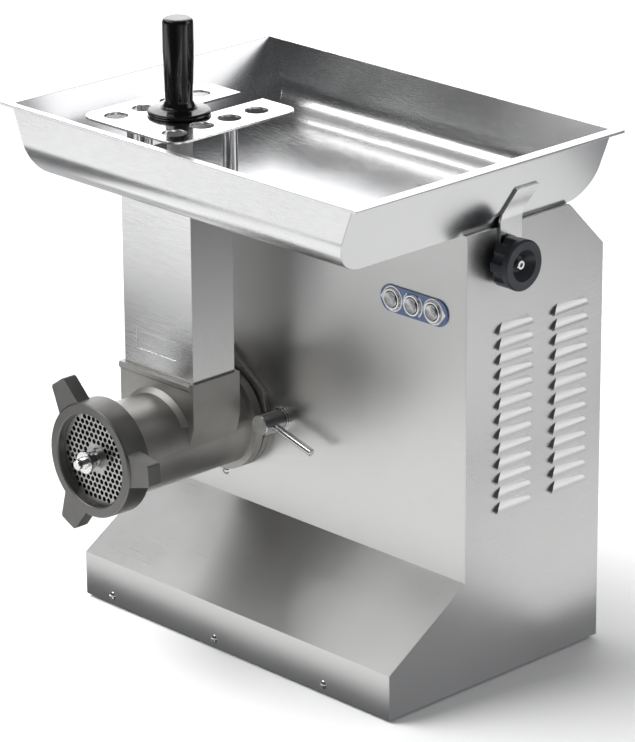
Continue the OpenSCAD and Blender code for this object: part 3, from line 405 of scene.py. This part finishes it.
def add_world():
    """The studio's surroundings as the metal reflects them: dim, with soft pale patches."""
    world = bpy.data.worlds.new("studio")
    bpy.context.scene.world = world
    world.use_nodes = True
    tree = world.node_tree
    links = tree.links
    coords = tree.nodes.new("ShaderNodeTexCoord")

    def lobe(direction, start, end, colour):
        """A soft patch of light around a direction: none at cosine start, full at end."""
        dot = tree.nodes.new("ShaderNodeVectorMath")
        dot.operation = "DOT_PRODUCT"
        dot.inputs[1].default_value = Vector(direction).normalized()
        links.new(coords.outputs["Generated"], dot.inputs[0])
        rise = tree.nodes.new("ShaderNodeMapRange")
        rise.interpolation_type = "SMOOTHSTEP"
        rise.inputs["From Min"].default_value = start
        rise.inputs["From Max"].default_value = end
        links.new(dot.outputs["Value"], rise.inputs["Value"])
        mix = tree.nodes.new("ShaderNodeMix")
        mix.data_type = "RGBA"
        links.new(rise.outputs["Result"], mix.inputs["Factor"])
        mix.inputs["A"].default_value = (0, 0, 0, 1)
        mix.inputs["B"].default_value = (*colour, 1)
        return mix.outputs["Result"]

    total = tree.nodes.new("ShaderNodeRGB").outputs["Color"]
    total.default_value = (*WORLD_BASE, 1)
    for direction, start, end, colour in WORLD_LOBES:
        plus = tree.nodes.new("ShaderNodeMix")
        plus.data_type = "RGBA"
        plus.blend_type = "ADD"
        plus.inputs["Factor"].default_value = 1
        links.new(total, plus.inputs["A"])
        links.new(lobe(direction, start, end, colour), plus.inputs["B"])
        total = plus.outputs["Result"]
    links.new(total, tree.nodes["Background"].inputs["Color"])


def add_stage():
    """Floor, surroundings, soft light for the floor and plastics, and cards for the metal."""
    add_floor()
    add_world()
    add_soft_light("key", (-0.8, -0.5, 1.0), 4.0, 50)
    add_soft_light("fill", (0.1, 0.0, 1.0), 0.9, 120)
    add_card("front_card", (0.02, -0.44, 0.002), (0.02, -0.44, 1), (1.25, 0.6), 0.72)
    add_card("far_front_card", (-1.4, -1.3, 0.002), (-1.4, -1.3, 1), (1.7, 1.1), 0.78)
    add_card("side_card", (1.15, 0.45, 0.002), (1.15, 0.45, 1), (1.0, 1.3), 0.62)
    add_card("tray_end_card", (0.42, 0.42, 0.002), (0.42, 0.42, 1), (0.3, 0.5), 0.55)
    add_card("front_top_card", (-0.9, -1.65, 2.4), (0, -0.05, 0.1), (0.9, 0.9), 3.5)
    add_card("shelf_card", (-1.5, -1.0, 1.85), (0, -0.05, 0.1), (0.6, 0.6), 4.2)
    bpy.context.scene.view_settings.view_transform = "Standard"


# ---------- CAD nodes ----------

SOFTEN = {
    "front_panel": 0.6 * MM, "right_side_panel": 0.4 * MM, "left_side_panel": 0.4 * MM,
    "top_panel": 0.4 * MM, "rear_panel": 0.4 * MM, "tray": 0.5 * MM, "feed_neck": 0.6 * MM,
    "guard_plate": 0.5 * MM, "tray_bracket": 0.5 * MM, "head_body": 1.0 * MM,
    "ring_nut": 1.4 * MM, "mounting_flange": 0.8 * MM, "clamp_knob": 0.9 * MM,
    "clamp_screw": 0.3 * MM, "clamp_washers": 0.3 * MM, "control_plate": 0.3 * MM,
    "button_bezels": 0.3 * MM, "cable_gland": 0.5 * MM, "rubber_feet": 0.5 * MM,
    "pestle_handle": 0.5 * MM, "stud_nut": 0.5 * MM, "stud_washer": 0.5 * MM,
}


def dress_nodes():
    """Gives every CAD node the material of its slot in the record."""
    for part in frame["record"]["subparts"]:
        name, slot = part["node"], part["material_slot"]
        dress(name, MATERIALS[slot], SOFTEN.get(name, 0.0))


def middle(name):
    """The middle of a CAD node's box."""
    low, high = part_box(name)
    return [(a + b) / 2 for a, b in zip(low, high)]


def dress_faces():
    """Lathe-turned faces, whose rings need each node's own middle, and the ring nut darkened as
    painted shade.
    """
    faces = [(button, (0.36, 0.36, 0.37), (0.74, 0.74, 0.75), 0.24, 0.7 * MM)
             for button in ("reverse_button", "stop_button", "start_button")]
    faces += [("clamp_screw", (0.42, 0.42, 0.41), (0.66, 0.66, 0.65), 0.24, 0.7 * MM),
              ("grinding_plate", (0.40, 0.40, 0.39), (0.56, 0.56, 0.55), 0.30, 1.2 * MM)]
    for name, dark, light, rough, pitch in faces:
        nodes[name].data.materials[0] = turned_face(name + "_face", middle(name),
                                                    dark, light, rough, pitch)
    # Darker copy of the cast stainless for the ring nut: painted shade standing in for the dark
    # reflection on its face.
    nodes["ring_nut"].data.materials[0] = cast_stainless("ring_casting_painted_shade", (0.19, 0.187, 0.182),
                                                         (0.26, 0.256, 0.248))


# ---------- Detail pieces ----------

def add_piece(name, bm, material, body, angle=30):
    """Makes a built mesh a piece that rides on a CAD body."""
    bmesh.ops.recalc_face_normals(bm, faces=bm.faces)
    mesh = bpy.data.meshes.new(name)
    bm.to_mesh(mesh)
    bm.free()
    mesh.polygons.foreach_set("use_smooth", [True] * len(mesh.polygons))
    mesh.materials.append(material)
    piece = bpy.data.objects.new(name, mesh)
    bpy.context.scene.collection.objects.link(piece)
    split = piece.modifiers.new("crisp_edges", "EDGE_SPLIT")
    split.split_angle = math.radians(angle)
    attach(piece, body)
    return piece


def skin(bm, loops):
    """Joins closed loops of points into a skin and caps both ends."""
    rows = [[bm.verts.new(point) for point in loop] for loop in loops]
    count = len(rows[0])
    for low, high in zip(rows, rows[1:]):
        for i in range(count):
            j = (i + 1) % count
            bm.faces.new((low[i], low[j], high[j], high[i]))
    bm.faces.new(rows[0][::-1])
    bm.faces.new(rows[-1])


def ring_y(x, y, z, radius, count=64):
    """A loop about the Y axis through x, z, where radius is a number or a function of angle."""
    points = []
    for i in range(count):
        a = 2 * math.pi * i / count
        r = radius(a) if callable(radius) else radius
        points.append((x + r * math.cos(a), y, z + r * math.sin(a)))
    return points


def add_threaded_stud():
    """The auger's stud with a plain tip and a real helical thread under its nut."""
    low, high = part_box("auger_stud")
    nut_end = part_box("stud_nut")[1][1]
    x, _, z = middle("auger_stud")
    root, crest, pitch, steps = 4.75 * MM, 5.5 * MM, 1.75 * MM, 8
    tip, start = low[1], low[1] + 4.6 * MM
    loops = [ring_y(x, tip, z, 3.9 * MM), ring_y(x, tip + 0.9 * MM, z, 4.8 * MM),
             ring_y(x, start - 0.3 * MM, z, 4.8 * MM)]
    count = int((nut_end - start) / pitch * steps)
    for k in range(count + 1):
        turn = k / steps

        def radius(a, turn=turn):
            wave = abs(2 * ((turn - a / (2 * math.pi)) % 1) - 1)
            return root + (crest - root) * wave
        loops.append(ring_y(x, start + turn * pitch, z, radius))
    loops += [ring_y(x, nut_end + 0.4 * MM, z, 5.5 * MM),
              ring_y(x, nut_end + 0.5 * MM, z, 6.5 * MM), ring_y(x, high[1], z, 6.5 * MM)]
    bm = bmesh.new()
    skin(bm, loops)
    piece = add_piece("threaded_stud", bm, MATERIALS["bright_steel"], "auger_drive",
                      angle=25)
    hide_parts("auger_stud")


def add_raised_mark(name, x, z, outline, start, end, inner=10.9 * MM, steps=72):
    """A flat raised mark on the control plate, between a circle and outline(angle)."""
    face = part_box("control_plate")[0][1]
    closed = end - start >= 2 * math.pi - 1e-6
    bm = bmesh.new()
    rows = []
    for i in range(steps if closed else steps + 1):
        a = start + (end - start) * i / steps
        rows.append([bm.verts.new((x + r * math.cos(a), y, z + r * math.sin(a)))
                     for r, y in ((inner, face), (inner, face - 0.2 * MM),
                                  (outline(a), face - 0.2 * MM), (outline(a), face))])
    pairs = list(zip(rows, rows[1:] + rows[:1] if closed else rows[1:]))
    for first, second in pairs:
        for i in range(4):
            j = (i + 1) % 4
            bm.faces.new((first[i], first[j], second[j], second[i]))
    if not closed:
        bm.faces.new(rows[0])
        bm.faces.new(rows[-1][::-1])
    add_piece(name, bm, MARK_WHITE, "cabinet")


def arrow(side, ring=12.5 * MM, tip=15.6 * MM):
    """Outline of a ring with a point to one side, -1 for left and 1 for right."""
    reach = math.acos(ring / tip)

    def outline(a):
        off = abs(math.atan2(math.sin(a), side * math.cos(a)))
        return ring / math.cos(reach - off) if off < reach else ring
    return outline


def add_control_marks():
    """Plain direction marks round the buttons: arrows outside, arcs round the middle one."""
    full = 2 * math.pi
    x, _, z = middle("reverse_button")
    add_raised_mark("reverse_mark", x, z, arrow(-1), 0.0, full)
    x, _, z = middle("start_button")
    add_raised_mark("start_mark", x, z, arrow(1), 0.0, full)
    x, _, z = middle("stop_button")
    for name, turn in (("stop_mark_right", 0.0), ("stop_mark_left", math.pi)):
        add_raised_mark(name, x, z, lambda a: 12.7 * MM, turn - 0.9, turn + 0.9,
                        inner=11.3 * MM, steps=24)


def add_knob_screw():
    """Hexagon-socket screw in the middle of the tray knob."""
    _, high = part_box("knob_stud")
    _, y, z = middle("knob_stud")
    base = high[0]

    def ring(x, radius, sides=48):
        return [(x, y + radius * math.cos(2 * math.pi * (i + 0.5) / sides),
                 z + radius * math.sin(2 * math.pi * (i + 0.5) / sides)) for i in range(sides)]

    def hexagon(x, radius, sides=48):
        points = []
        for i in range(sides):
            a = 2 * math.pi * (i + 0.5) / sides
            r = radius / math.cos((a % (math.pi / 3)) - math.pi / 6)
            points.append((x, y + r * math.cos(a), z + r * math.sin(a)))
        return points
    bm = bmesh.new()
    skin(bm, [ring(base - 0.5 * MM, 4.6 * MM), ring(base + 1.5 * MM, 4.6 * MM),
              ring(base + 2.2 * MM, 4.0 * MM), hexagon(base + 2.2 * MM, 2.1 * MM),
              hexagon(base + 0.6 * MM, 2.0 * MM)])
    add_piece("knob_screw", bm, MATERIALS["bright_steel"], "tray_knob")


add_camera()
add_stage()
dress_nodes()
dress_faces()
add_threaded_stud()
add_control_marks()
add_knob_screw()
